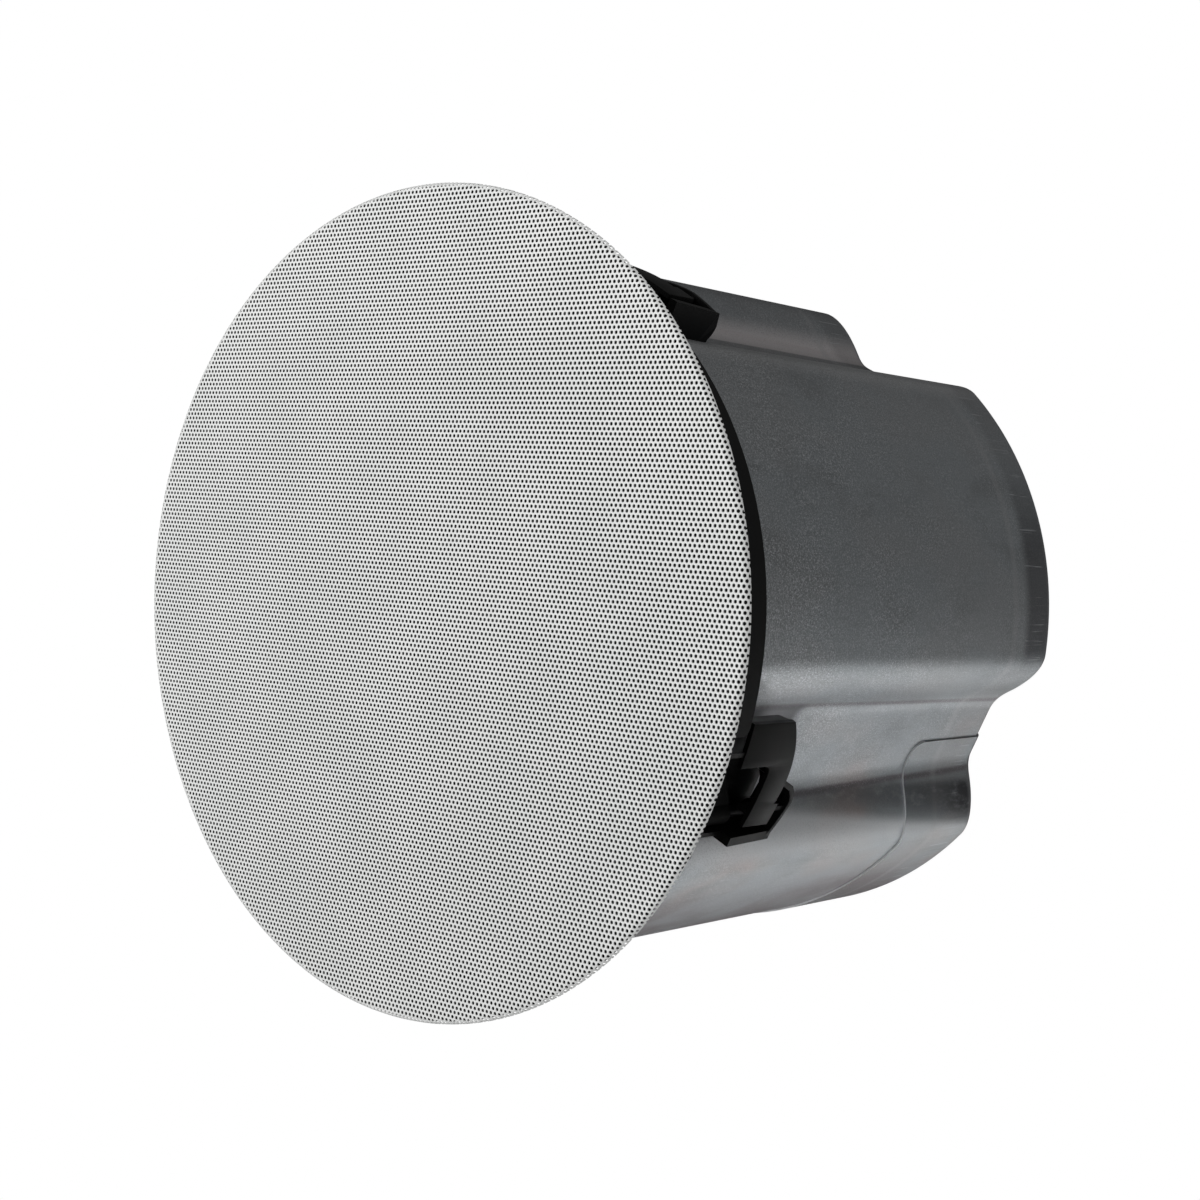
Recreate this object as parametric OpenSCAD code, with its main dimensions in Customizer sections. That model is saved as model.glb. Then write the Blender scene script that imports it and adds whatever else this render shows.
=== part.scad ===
// Round ceiling loudspeaker: perforated steel grille, moulded baffle, four screw clamps and a drawn
// steel back can with a wiring compartment. Millimetres. +Y runs from the room into the ceiling void,
// and the origin is the centre of the flange's mounting face. Places are given as [radius, y] for
// turned pieces, [x, z] for front views, and y is always the depth behind the mounting face.

/* [Grille] */
// Diameter over the rolled rim of the grille
grille_d = 311; // [308:1:330]
// Thickness of the grille sheet
grille_t = 0.8; // [0.6:0.1:1.2]
// Depth of the rolled rim
grille_depth = 3.2; // [3:0.1:4]
// Outside radius of the bend between face and rim
grille_bend_r = 2.5; // [1.5:0.1:2.8]
// Distance between the centres of the openings
opening_pitch = 26; // [25:1:30]
// Diameter of one opening
opening_d = 15; // [8:1:20]
// Thickness of the cloth behind the grille
cloth_t = 0.4; // [0.3:0.1:0.6]

/* [Baffle] */
// Diameter of the ring that passes through the ceiling board
ring_d = 277; // [272:1:284]
// Depth of the ring behind the mounting face
ring_depth = 28.6; // [27:0.2:29]
// Wall of the ring
ring_t = 1.8; // [1.5:0.1:2.4]
// Thickness of the flange behind the grille
flange_t = 1.7; // [1.5:0.1:2.5]
// Height of the raised edge that carries the grille
rim_h = 2; // [2:0.1:3]
// Depth of the front panel's face behind the mounting face
panel_y = 6; // [5:0.5:7]
// Thickness of the front panel
panel_t = 3; // [2.5:0.5:3.5]
// Thickness of the gasket between panel and back can
gasket_t = 3.5; // [2:0.5:5]
// Diameter of the grille's holding magnets
magnet_d = 10; // [8:1:12]

/* [Back can] */
// Depth of the back can's rear face behind the mounting face
can_back = 239; // [225:0.5:260]
// Thickness of the can's sheet
can_t = 1; // [0.8:0.1:1.5]
// Taper of the drawn wall, in degrees
can_draft = 0.7; // [0.3:0.1:0.9]
// Radius of the rounded rear edge
can_edge_r = 6; // [4:1:12]
// Depth of the four clamp channels below the lobes
channel_depth = 19.8; // [19:0.2:21]
// Width of a channel's flat floor
channel_w = 37.8; // [36:0.2:40]
// Slope of a channel's sides, in degrees
channel_slope = 32.2; // [30:0.5:34]
// Width of the can's turned-in front flange
can_flange_w = 12; // [11:0.5:14]

/* [Wiring compartment] */
// Thickness of the wiring cover
cover_t = 1; // [0.8:0.1:1.2]
// Length of the cover along the can's wall, in the clamp channels
cover_len = 55.5; // [53:0.5:60]
// How much shorter the cover is on the bottom lobe
cover_step = 16; // [8:1:17]
// Height of the cover's straight upper edge below the can's middle
cover_edge = 62; // [56:1:66]
// Diameter of the conduit entry
entry_d = 22.2; // [20:0.1:23]
// Width of the wiring box
box_w = 84; // [76:1:92]
// Depth of the wiring box
box_depth = 34; // [30:1:38]

/* [Clamps] */
// Reach of a clamp ear from its screw
ear_reach = 24.5; // [22:0.5:25]
// Width of a clamp ear
ear_w = 8.4; // [7.5:0.1:9]
// Length of the ear's sleeve along the screw
ear_len = 19; // [16:0.5:19.5]
// Depth of the ear's gripping face when tucked in
ear_y = 28.5; // [28:0.1:29]
// Diameter of the clamp screw
clamp_screw_d = 4; // [3.5:0.5:5]
// Wall of the clamp bracket
bracket_t = 1.8; // [1.5:0.1:2.2]
// Depth of the bracket's rear end
bracket_y = 71.3; // [70:0.1:74]

/* [Woofer] */
// Diameter of the woofer's mounting flange
woofer_d = 206; // [202:1:210]
// Diameter of the paper cone
cone_d = 166; // [158:1:168]
// Depth of the cone's neck
cone_neck_y = 50; // [46:1:52]
// Diameter of the voice coil
coil_d = 38; // [36:1:42]
// Diameter of the ferrite magnet
ferrite_d = 110; // [96:1:124]
// Thickness of the ferrite magnet
ferrite_t = 18; // [14:1:24]
// Height of the surround's half roll
roll_h = 5.5; // [4:0.5:6]

/* [Tweeter] */
// Diameter of the tweeter's dome
dome_d = 25; // [19:1:28]
// Diameter of the tweeter's waveguide
waveguide_d = 56; // [50:1:62]

/* [Electrical parts] */
// Width of the transformer's core
core_w = 57; // [48:1:62]
// Height of the transformer's core
core_h = 48; // [42:1:50]
// Stack of the transformer's laminations
core_t = 24; // [18:1:30]
// Width of the crossover board
board_w = 110; // [100:1:116]
// Height of the crossover board
board_h = 62; // [58:1:66]
// Diameter of the tap selector knob
knob_d = 17; // [14:1:20]

/* [Hidden] */

// Clearances between pieces
slip = 0.4;
run = 0.05;
loose = 0.1;
lift = 0.3;

// Levels along the depth, worked out from the flange to the rear
grille_y = -(flange_t + rim_h + cloth_t + loose + grille_t);
cloth_y = grille_y + grille_t;
rim_y = cloth_y + cloth_t + loose;
back_of_panel = panel_y + panel_t;
can_y = back_of_panel + gasket_t;
can_r0 = ring_d / 2 - ring_t - slip;
floor_r0 = can_r0 - channel_depth;
flange_r = grille_d / 2 - grille_t - slip;
well_r = ring_d / 2 - ring_t - 2.7;
can_inside = can_back - can_t;
cover_y = can_back - cover_len;

// The channel's corners, as angles from its middle
side_p = floor_r0 * cos(channel_slope) - channel_w / 2 * sin(channel_slope);
corner_in = atan(channel_w / 2 / floor_r0);
corner_out = acos(side_p / can_r0) - channel_slope;
blend_in = 2.2;
blend_out = 4.5;
// Share of the wall's taper and of the rear rounding that the channels' sides take
side_taper = 0.5;
side_round = 0.3;

function smooth_low(a, b, k) = min(a, b) - pow(max(k - abs(a - b), 0), 2) / (4 * k);
function smooth_high(a, b, k) = max(a, b) + pow(max(k - abs(a - b), 0), 2) / (4 * k);
function span(a, b, n) = [for (i = [0:n - 1]) a + (b - a) * i / n];
function from_channel(a) = abs(((a % 90) + 90) % 90 - 45);
function smooth_step(t) = let (s = min(max(t, 0), 1)) s * s * (3 - 2 * s);

// Radius of the can's outline at an angle, moved inward by d, and by s at the channels' sides
function can_r(a, d, s) = let (o = from_channel(a)) smooth_low(
    can_r0 - d,
    smooth_high((floor_r0 - d) / cos(o), (side_p - s) / cos(o + channel_slope), blend_in),
    blend_out
);

// Angles at which the outline is drawn: close together round the channel's corners
half_angles = concat(
    span(0, corner_in - 2, 2), span(corner_in - 2, corner_in + 2, 4),
    span(corner_in + 2, corner_out - 2.5, 2), span(corner_out - 2.5, corner_out + 2.5, 6),
    span(corner_out + 2.5, 45, 5), [45]
);
last_half = len(half_angles) - 1;
outline_angles = [
    for (q = [0:3]) each concat(
        [for (i = [last_half:-1:1]) 45 + 90 * q - half_angles[i]],
        [for (i = [0:last_half - 1]) 45 + 90 * q + half_angles[i]]
    )
];
function draft_at(y) = (y - can_y) * tan(can_draft);
// A point of the can at an angle, d inside the drawn wall and e further in for the rear rounding
function can_point(a, d, y, e = 0) = let (
    taper = draft_at(min(y, can_back)),
    r = can_r(a, d + taper + e, d + side_taper * taper + side_round * e)
) [r * cos(a), y, r * sin(a)];
function ring_at(d, y, e = 0) = [for (a = outline_angles) can_point(a, d, y, e)];

// A front view, drawn in x and z, given depth from y0 to y1
module slab(y0, y1) {
    rotate([90, 0, 0]) translate([0, 0, -y1]) linear_extrude(y1 - y0) children();
}

// The can's outline moved inward by d, as a front view
module outline(d) {
    polygon([for (a = outline_angles) can_r(a, d, d) * [cos(a), sin(a)]]);
}

// A turned piece from a profile of [radius, y] points
module turned(profile, sides = 96) {
    rotate([90, 0, 0]) rotate_extrude($fn = sides) polygon([for (p = profile) [p[0], -p[1]]]);
}

// A round bar and a tube along y, at [x, z]
module bar(r, y0, y1, at = [0, 0], sides = 32) {
    translate([at[0], 0, at[1]]) slab(y0, y1) circle(r, $fn = sides);
}
module tube(r0, r1, y0, y1, sides = 96) {
    slab(y0, y1) difference() {
        circle(r1, $fn = sides);
        circle(r0, $fn = sides);
    }
}

// Copies at equal angles, seen from the front and counted from the right
module around(n, start = 0) {
    for (i = [0:n - 1]) rotate([0, -(start + 360 * i / n), 0]) children();
}

// A closed skin through a list of rings with the same number of points
module skin(rings) {
    n = len(rings[0]);
    m = len(rings) - 1;
    polyhedron(
        points = [for (s = rings) each s],
        faces = concat(
            [[for (j = [n - 1:-1:0]) j]],
            [for (i = [0:m - 1], j = [0:n - 1]) let (k = (j + 1) % n)
                [i * n + j, i * n + k, (i + 1) * n + k, (i + 1) * n + j]],
            [[for (j = [0:n - 1]) m * n + j]]
        ),
        convexity = 10
    );
}

// A pan head screw along y: the head stands in front of y0
module screw(r, head_r, y0, length, at) {
    head_h = head_r * 0.62;
    translate([at[0], 0, at[1]]) difference() {
        union() {
            turned([[0, y0 - head_h], [head_r * 0.7, y0 - head_h], [head_r, y0 - head_h * 0.45],
                    [head_r, y0], [0, y0]], 24);
            bar(r, y0, y0 + length - r, sides = 20);
            turned([[0, y0 + length - r], [r, y0 + length - r], [0, y0 + length]], 20);
        }
        for (a = [0, 90]) rotate([0, a, 0])
            translate([-head_r * 0.45, y0 - head_h - 1, -head_r * 0.1])
                cube([head_r * 0.9, 1 + head_h * 0.6, head_r * 0.2]);
    }
}

// Grille: a shallow pan with its openings in staggered rows
row_step = opening_pitch * sqrt(3) / 2;
opening_reach = grille_d / 2 - grille_bend_r - opening_d / 2 - 3;
module grille() color("whitesmoke") {
    r = grille_d / 2;
    b = grille_bend_r;
    c = grille_bend_r - grille_t;
    turn = [for (i = [0:6]) i * 15];
    difference() {
        turned(concat(
            [[0, grille_y]],
            [for (a = turn) [r - b + b * sin(a), grille_y + b - b * cos(a)]],
            [[r, grille_y + grille_depth], [r - grille_t, grille_y + grille_depth]],
            [for (i = [6:-1:0]) [r - b + c * sin(turn[i]), grille_y + b - c * cos(turn[i])]],
            [[0, cloth_y]]
        ), 128);
        for (j = [-6:6], i = [-7:7]) {
            at = [(i + (j % 2 == 0 ? 0 : 0.5)) * opening_pitch, j * row_step];
            if (norm(at) <= opening_reach) bar(opening_d / 2, grille_y - 1, cloth_y + 1, at, 24);
        }
    }
}
module grille_cloth() color("black")
    bar(grille_d / 2 - grille_bend_r - 1.5, cloth_y, cloth_y + cloth_t, sides = 96);

magnet_r = (flange_r + ring_d / 2) / 2;
magnet_t = rim_h;
module grille_magnets() color("silver")
    around(4) bar(magnet_d / 2, rim_y, rim_y + magnet_t, [magnet_r, 0]);

// Baffle: flange, well, ring, front panel and the skirt that the back can plugs into
woofer_hole_r = woofer_d / 2 - 10;
woofer_screw_r = woofer_d / 2 - 4.5;
can_screw_r = can_r0 - 6.5;
skirt_end = can_y + 8;
skirt_gap = slip + 0.2;
skirt_t = ring_t - 0.4;
gap_high = ring_d / 2 * sin(8.8);
gap_low = -ring_d / 2 * sin(11);
module baffle() color("dimgray") difference() {
    union() {
        // flange and raised edge, with the outer rear corner taken off
        turned([[well_r, -flange_t], [flange_r - 2.2, -flange_t], [flange_r - 2.2, rim_y], [flange_r, rim_y],
                [flange_r, -flange_t - 0.9], [flange_r - 1.8, 0], [well_r, 0]], 128);
        tube(well_r, well_r + 3.2, rim_y, back_of_panel, 128);
        tube(ring_d / 2 - ring_t, ring_d / 2, -flange_t, ring_depth, 128);
        tube(woofer_hole_r, well_r + 3.2, panel_y, back_of_panel, 128);
        tube(woofer_hole_r, woofer_hole_r + 2.4, back_of_panel, back_of_panel + 5);
        slab(panel_y, back_of_panel) difference() {
            circle(ring_d / 2, $fn = 128);
            circle(well_r, $fn = 128);
        }
        slab(back_of_panel - 1, skirt_end) difference() {
            outline(-skirt_gap - skirt_t);
            outline(-skirt_gap);
        }
        around(4) bar(magnet_d / 2 + 2, rim_y, -flange_t, [magnet_r, 0]);
        around(16, 11.25) translate([woofer_d / 2 + 4, panel_y - 3, -1])
            cube([well_r - woofer_d / 2 - 3.5, 3.5, 2]);
    }
    around(4) bar(magnet_d / 2 + loose, rim_y - 1, rim_y + magnet_t, [magnet_r, 0]);
    around(8, 22.5) bar(1.7, panel_y - 5, back_of_panel + 6, [woofer_screw_r, 0], 20);
    can_screw_places() bar(1.8, panel_y - 5, back_of_panel + 1, [can_screw_r, 0], 20);
    around(4, 45) {
        ring_gap();
        bar(clamp_screw_d / 2 + run, panel_y - 1, back_of_panel + 1, clamp_axis, 24);
        for (at = post_places) bar(1.6, panel_y - 1, back_of_panel + 1, at, 20);
    }
    bar(neck_r + loose, panel_y - 5, back_of_panel + 1, knob_at, 24);
}

// Opening in the ring for a clamp, with its rear corners rounded off
module ring_gap() {
    r = 3;
    turn = [for (i = [0:5]) i * 18];
    across(ring_d / 2 - 9, ring_d / 2 + 2) polygon(concat(
        [[back_of_panel, gap_high], [back_of_panel, gap_low]],
        [for (t = turn) [ring_depth - r + r * sin(t), gap_low - r + r * cos(t)]],
        [[ring_depth + 5, gap_low - r], [ring_depth + 5, gap_high + r]],
        [for (i = [5:-1:0]) [ring_depth - r + r * sin(turn[i]), gap_high + r - r * cos(turn[i])]]
    ));
}

module can_screw_places() for (a = [-16, 16]) around(4, a) children();

module can_gasket() color("black") difference() {
    slab(back_of_panel, can_y) difference() {
        outline(0.5);
        outline(can_flange_w - 1);
    }
    can_screw_places() bar(2, back_of_panel - 1, can_y + 1, [can_screw_r, 0], 20);
}

// Back can: a drawn shell with four channels, a rounded rear edge and a turned-in flange
edge_turn = [for (i = [0:4]) i * 22.5];
module back_can() color("silver") {
    rear = can_back - can_edge_r;
    bend = can_edge_r - can_t;
    difference() {
        skin(concat(
            [for (i = [4:-1:0]) ring_at(can_t, rear + bend * sin(edge_turn[i]), bend * (1 - cos(edge_turn[i])))],
            [ring_at(can_t, can_y + can_t), ring_at(can_flange_w, can_y + can_t), ring_at(can_flange_w, can_y)],
            [ring_at(0, can_y)],
            [for (a = edge_turn) ring_at(0, rear + can_edge_r * sin(a), can_edge_r * (1 - cos(a)))]
        ));
        can_screw_places() bar(1.6, can_y - 1, can_y + can_t + 1, [can_screw_r, 0], 20);
        translate([-box_w / 2 + 3, box_y + 3, -can_r0 - 5]) cube([box_w - 6, can_back, can_r0 + 5 + box_top - 3]);
        for (at = tether_rivet_places) bar(1.6, can_inside - 1, can_back + 1, at, 20);
        for (x = [-1, 1]) bar(1.5, can_inside - 1, can_back + 1, [x * cover_screw_x, cover_screw_z], 20);
        for (at = strap_places) bar(1.6, can_inside - 1, can_back + 1, at, 20);
        for (at = standoff_places) bar(1.6, can_inside - 1, can_back + 1, at, 20);
    }
}

// Wiring cover: a sheet that wraps the bottom lobe and laps over the can's rear face
cover_gap = 0.05;
cover_angles = [for (a = outline_angles) if (a >= 225 && a <= 315) a];
cover_corner = 16;
function cover_front(a) = let (
    o = min(a - 225, 315 - a),
    s = o * PI / 180 * floor_r0,
    back = s < cover_corner ? cover_corner - sqrt(pow(cover_corner, 2) - pow(cover_corner - s, 2)) : 0
) cover_y + back + cover_step * smooth_step((o - 12) / 14);
function lap_path(a, g) = concat(
    [[-cover_edge / tan(a), can_back + g, -cover_edge]],
    [for (i = [4:-1:0]) let (r = can_edge_r + g)
        can_point(a, -g, can_back - can_edge_r + r * sin(edge_turn[i]), r * (1 - cos(edge_turn[i])))],
    [can_point(a, -g, cover_front(a))]
);
function backward(list) = [for (i = [len(list) - 1:-1:0]) list[i]];
entry_at = [24, -104];
cover_screw_x = 58;
cover_screw_z = -74;
cover_rear = can_back + cover_gap + cover_t;
module wiring_cover() color("silver") difference() {
    skin([for (a = cover_angles) concat(lap_path(a, cover_gap + cover_t), backward(lap_path(a, cover_gap)))]);
    bar(entry_d / 2, can_back - 1, cover_rear + 1, entry_at, 48);
    translate([-entry_at[0], 0, entry_at[1]])
        tube(entry_d / 2 - 0.6, entry_d / 2, cover_rear - cover_t * 0.6, cover_rear + 1, 48);
    for (x = [-1, 1]) bar(1.7, can_back - 1, cover_rear + 1, [x * cover_screw_x, cover_screw_z], 20);
}
module rear_screw(r, head_r, y0, length, at)
    translate([0, y0, 0]) mirror([0, 1, 0]) screw(r, head_r, 0, length, at);
module cover_screws() color("gainsboro")
    for (x = [-1, 1]) rear_screw(1.45, 3, cover_rear, 8, [x * cover_screw_x, cover_screw_z]);

// Wiring box: a folded tray inside the can behind the cover's opening, with its terminals
box_y = can_back - box_depth;
box_top = -(can_r0 - 56);
box_t = 1;
module wiring_box() color("lightgray") difference() {
    intersection() {
        translate([-box_w / 2, box_y, -can_r0]) cube([box_w, can_back, can_r0 + box_top]);
        union() {
            slab(box_y - 1, can_back - can_edge_r) outline(can_t + draft_at(can_back) + lift);
            slab(can_back - can_edge_r - 1, can_inside - loose) outline(can_t + draft_at(can_back) + can_edge_r);
        }
    }
    translate([-box_w / 2 + box_t, box_y + box_t, -can_r0 - 1])
        cube([box_w - 2 * box_t, can_back, can_r0 + 1 + box_top - box_t]);
}
socket_w = 44;
socket_z = box_top - 24;
module pins() for (i = [-1.5:1:1.5]) translate([i * 10 - 3, 0, socket_z + 2]) children();
module terminal_socket() color("darkgreen") difference() {
    translate([-socket_w / 2, box_y + box_t, socket_z]) cube([socket_w, 10, 12]);
    pins() translate([0, box_y + box_t + 4, 0]) cube([6, 10, 8]);
}
module terminal_plug() color("green") difference() {
    translate([-socket_w / 2, box_y + box_t + 10 + run, socket_z]) cube([socket_w, 12, 12]);
    pins() translate([0, box_y + box_t + 15, 1]) cube([6, 12, 6]);
    pins() translate([3, box_y + box_t + 15, 3]) cylinder(r = 2, h = 12, $fn = 20);
}

// Safety tether tab, riveted to the rear face
tether_z = 62;
tether_rivet_places = [[-4, tether_z], [10, tether_z]];
module tether_tab() color("silver") difference() {
    union() {
        translate([-17, can_back, tether_z - 9]) cube([34, 2, 18]);
        translate([-17, can_back, tether_z - 9]) cube([2, 12, 18]);
        translate([-17, can_back + 12, tether_z]) rotate([0, 90, 0]) cylinder(r = 9, h = 2, $fn = 48);
    }
    translate([-18, can_back + 12, tether_z]) rotate([0, 90, 0]) cylinder(r = 4, h = 4, $fn = 48);
    for (at = tether_rivet_places) bar(1.6, can_back - 1, can_back + 3, at, 20);
}
module tether_rivets() color("gainsboro") for (at = tether_rivet_places) translate([at[0], 0, at[1]]) {
    turned([[0, can_inside - 1], [2.6, can_inside - 1], [2.6, can_inside], [1.55, can_inside],
            [1.55, can_back + 2], [3.2, can_back + 2], [2.4, can_back + 3.2], [0, can_back + 3.6]], 24);
}
module can_screws() color("gainsboro")
    can_screw_places() screw(1.5, 3.2, panel_y, 11, [can_screw_r, 0]);

// Clamps. In a clamp's own view x is the distance from the can's axis, z runs round the ring
clamp_u = -16.5;
clamp_axis = [floor_r0 + 11, clamp_u];
ring_r = ring_d / 2;
half_way = ear_w / 2 + slip;
ear_tip = clamp_u + ear_reach;
post_u = ear_tip + slip + 3.2;
post_places = [[clamp_axis[0] - 4, post_u], [clamp_axis[0] + 2.8, post_u]];
plate_low = clamp_u + half_way - 0.9;
plate_high = ring_r * sin(10.6);
plate_rear = bracket_y - 9.6;
plate_front = ring_depth + 2.1;
plate_arc = 44;
notch_y = ear_y + ear_len + 1;
hug = ring_t + slip + 0.6;

// A side view, drawn in y and z, given thickness from x0 to x1
module across(x0, x1) translate([x0, 0, 0]) rotate([90, 0, 90]) linear_extrude(x1 - x0) children();

module plate_shape() difference() {
    intersection() {
        translate([plate_front, plate_low - 4]) square([plate_rear + 3 - plate_front, plate_high - plate_low + 4]);
        union() {
            translate([plate_rear - plate_arc, 2]) circle(plate_arc, $fn = 96);
            translate([notch_y, plate_low - 4]) square([plate_rear + 1.6 - notch_y, 9.2]);
        }
    }
    translate([plate_front - 1, plate_low - 5]) square([notch_y - 3 - plate_front + 1, ear_tip + 0.9 - plate_low + 5]);
    translate([notch_y - 4, plate_low - 5]) square([4, ear_tip - 2.1 - plate_low + 5]);
    translate([notch_y - 3, ear_tip - 2.1]) circle(3, $fn = 32);
}
module clamp_bracket() color("dimgray") {
    wall_in = clamp_u - half_way;
    wall_out = wall_in - bracket_t;
    rail_in = clamp_u + half_way;
    low_v = clamp_axis[0] - ear_w / 2 - 0.8;
    top_v = sqrt(pow(ring_r, 2) - pow(wall_out, 2));
    difference() {
        union() {
            intersection() {
                tube(ring_r - bracket_t, ring_r, plate_front, plate_rear + 3, 128);
                across(ring_r * 0.8, ring_r + 1) plate_shape();
            }
            // the plate's turned-down side
            rotate([0, -10.6, 0]) translate([ring_r - 7.5, plate_front, -bracket_t])
                cube([7.4, plate_rear - 7 - plate_front, bracket_t]);
            // floor that follows the clamp channel
            intersection() {
                slab(back_of_panel, bracket_y + 0.8) difference() {
                    at_front() outline(-hug - bracket_t);
                    at_front() outline(-hug);
                }
                translate([0, 0, wall_out]) cube([ring_r, can_back, post_u + 3.2 - wall_out]);
            }
            // web that carries the plate
            translate([floor_r0 + hug, back_of_panel, post_u + 1.4])
                cube([ring_r - 1.2 - floor_r0 - hug, notch_y + 4 - back_of_panel, bracket_t]);
            // side of the guide and its outer cheek with a rounded lower corner
            translate([low_v, back_of_panel, wall_out]) cube([top_v - 4 - low_v, bracket_y - 2 - back_of_panel, bracket_t]);
            translate([0, 0, wall_out - bracket_t]) linear_extrude(2 * bracket_t) cheek_shape(low_v, top_v - 0.8);
            // rail on the other side, and the closed rear end
            translate([low_v + 9.4, notch_y, rail_in]) cube([ring_r - 2 - low_v - 9.4, bracket_y - notch_y, bracket_t]);
            intersection() {
                across(low_v, ring_r) end_shape(wall_out, rail_in);
                slab(back_of_panel, bracket_y + 4) circle(ring_r - 0.6, $fn = 128);
            }
            bar(clamp_screw_d / 2 + 2, bracket_y - 7, bracket_y - 1, clamp_axis, 32);
            // foot and screw posts against the panel
            translate([low_v, back_of_panel, wall_out]) cube([9.5, 2, post_u - wall_out]);
            for (at = post_places) bar(3, back_of_panel, back_of_panel + 12, at, 32);
        }
        bar(clamp_screw_d / 2 + run, back_of_panel - 1, bracket_y - 2.4, clamp_axis, 24);
        for (at = post_places) bar(1.45, back_of_panel - 1, back_of_panel + 11, at, 20);
    }
}
// The can's outline turned so that a channel's middle faces +x
module at_front() rotate(-45) children();
module cheek_shape(low, high) {
    r = 8.3;
    polygon(concat(
        [[low, notch_y - 4], [high + 1.6, notch_y - 4], [high, bracket_y - 0.4]],
        [for (i = [0:8]) let (a = 90 + i * 11.25) [low + r + r * cos(a), bracket_y + 0.8 - r + r * sin(a)]]
    ));
}
module end_shape(wall_out, rail_in) polygon([
    [bracket_y - 3, wall_out], [bracket_y - 1.2, wall_out - 0.4], [bracket_y + 0.3, rail_in - 4],
    [bracket_y + 1.7, rail_in + 3.6], [bracket_y + 0.5, rail_in + 7.6], [bracket_y - 2.6, rail_in + 11],
    [plate_rear - 0.4, rail_in + 14.2], [plate_rear - 0.4, rail_in + 12], [bracket_y - 3.6, rail_in + 9],
    [bracket_y - 1.2, rail_in + 6], [bracket_y - 0.2, rail_in + 3.2], [bracket_y - 1.6, rail_in - 4]
]);
module bracket_screws() color("gainsboro") around(4, 45)
    for (at = post_places) screw(1.4, 2.6, panel_y, 14, at);

module clamp_screw() color("gainsboro")
    screw(clamp_screw_d / 2, clamp_screw_d, panel_y, bracket_y - 3 - panel_y, clamp_axis);

module clamp_ear() color("dimgray") difference() {
    union() {
        bar(ear_w / 2, ear_y, ear_y + ear_len, clamp_axis);
        slab(ear_y, ear_y + 4) {
            translate([clamp_axis[0] - ear_w / 2, clamp_u]) square([ear_w, ear_reach - ear_w / 2]);
            translate([clamp_axis[0], ear_tip - ear_w / 2]) circle(ear_w / 2, $fn = 32);
        }
        across(clamp_axis[0] - 1.5, clamp_axis[0] + 1.5) polygon([
            [ear_y + 3, clamp_u], [ear_y + 3, ear_tip - 3], [ear_y + 6, ear_tip - 3],
            [ear_y + ear_len, clamp_u + 5], [ear_y + ear_len, clamp_u]
        ]);
        for (i = [0:2]) translate([clamp_axis[0] - ear_w / 2 + 1, ear_y - 0.8, ear_tip - 4 - i * 4])
            cube([ear_w - 2, 1, 1.2]);
    }
    bar(clamp_screw_d / 2 + run, ear_y - 2, ear_y + ear_len + 1, clamp_axis, 24);
}

// Woofer
frame_t = 1.4;
frame_y = panel_y - frame_t;
plate_y = cone_neck_y + 16;
cone_r = cone_d / 2;
coil_r = coil_d / 2;
spider_y = cone_neck_y + 7;
landing = coil_r + 36;
module woofer_frame() color("darkgray") difference() {
    union() {
        turned([
            [woofer_d / 2, frame_y], [woofer_d / 2, panel_y], [woofer_hole_r - 0.6, panel_y],
            [woofer_hole_r - 0.6, panel_y + 8], [woofer_hole_r - 7, panel_y + 14],
            [landing + 7, plate_y - 6], [landing, plate_y], [coil_r + 6, plate_y],
            [coil_r + 6, plate_y - frame_t], [landing - 1, plate_y - frame_t],
            [landing + 5.6, plate_y - 7], [woofer_hole_r - 8.4, panel_y + 13.2],
            [woofer_hole_r - 2, panel_y + 7.4], [woofer_hole_r - 2, frame_y]
        ]);
        tube(landing, landing + 5, spider_y + 0.6, plate_y - frame_t + 0.4);
    }
    around(6, 30) across(landing - 6, woofer_hole_r + 5) polygon([
        [panel_y + 17, -25], [panel_y + 17, 25], [plate_y - 12, 16], [plate_y - 12, -16]
    ]);
    around(8, 22.5) bar(2, frame_y - 1, panel_y + 1, [woofer_screw_r, 0], 20);
}
function cone_line(t) = [coil_r + 0.35 + (cone_r - 3 - coil_r) * pow(1 - t, 1.15), frame_y + (cone_neck_y - frame_y) * t];
cone_t = 0.7;
module woofer_cone() color("#303032") {
    line = [for (i = [0:12]) cone_line(i / 12)];
    turned(concat(
        [[cone_r, frame_y]], line, [[line[12][0], cone_neck_y + cone_t + 3], [line[12][0] + cone_t, cone_neck_y + 3]],
        [for (i = [12:-1:0]) line[i] + [cone_t, cone_t]], [[cone_r, frame_y + cone_t]]
    ));
}
module woofer_surround() color("#202022") {
    outer = woofer_hole_r - 2.4;
    mid = (outer + cone_r) / 2;
    half = (outer - cone_r) / 2;
    turned(concat(
        [[cone_r - 3, frame_y], [cone_r - 3, frame_y - 0.6]],
        [for (i = [0:12]) [mid - half * cos(i * 15), frame_y - 0.6 - roll_h * sin(i * 15)]],
        [[woofer_hole_r + 2, frame_y - 0.6], [woofer_hole_r + 2, frame_y]],
        [for (i = [12:-1:0]) [mid - (half - 0.6) * cos(i * 15), frame_y - (roll_h - 0.1) * sin(i * 15)]]
    ));
}
module woofer_spider() color("goldenrod") {
    steps = 40;
    reach = landing + 4.6 - coil_r - 0.35;
    wave = [for (i = [0:steps]) [coil_r + 0.35 + reach * i / steps,
        spider_y - 0.5 + (i < 3 || i > 34 ? 0 : 1.4 * sin((i - 3) * 360 * 5 / 31))]];
    turned(concat(wave, [for (p = backward(wave)) p + [0, 0.6]]));
}
coil_start = cone_neck_y - 3;
module voice_coil() color("peru") {
    tube(coil_r, coil_r + 0.3, coil_start, plate_y + 14);
    tube(coil_r + 0.3, coil_r + 0.8, plate_y + 1, plate_y + 13);
}
magnet_y = plate_y + 6;
yoke_y = magnet_y + ferrite_t;
yoke_t = 7;
module top_plate() color("silver") tube(coil_r + 1.3, ferrite_d / 2 - 8, plate_y, magnet_y);
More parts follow.
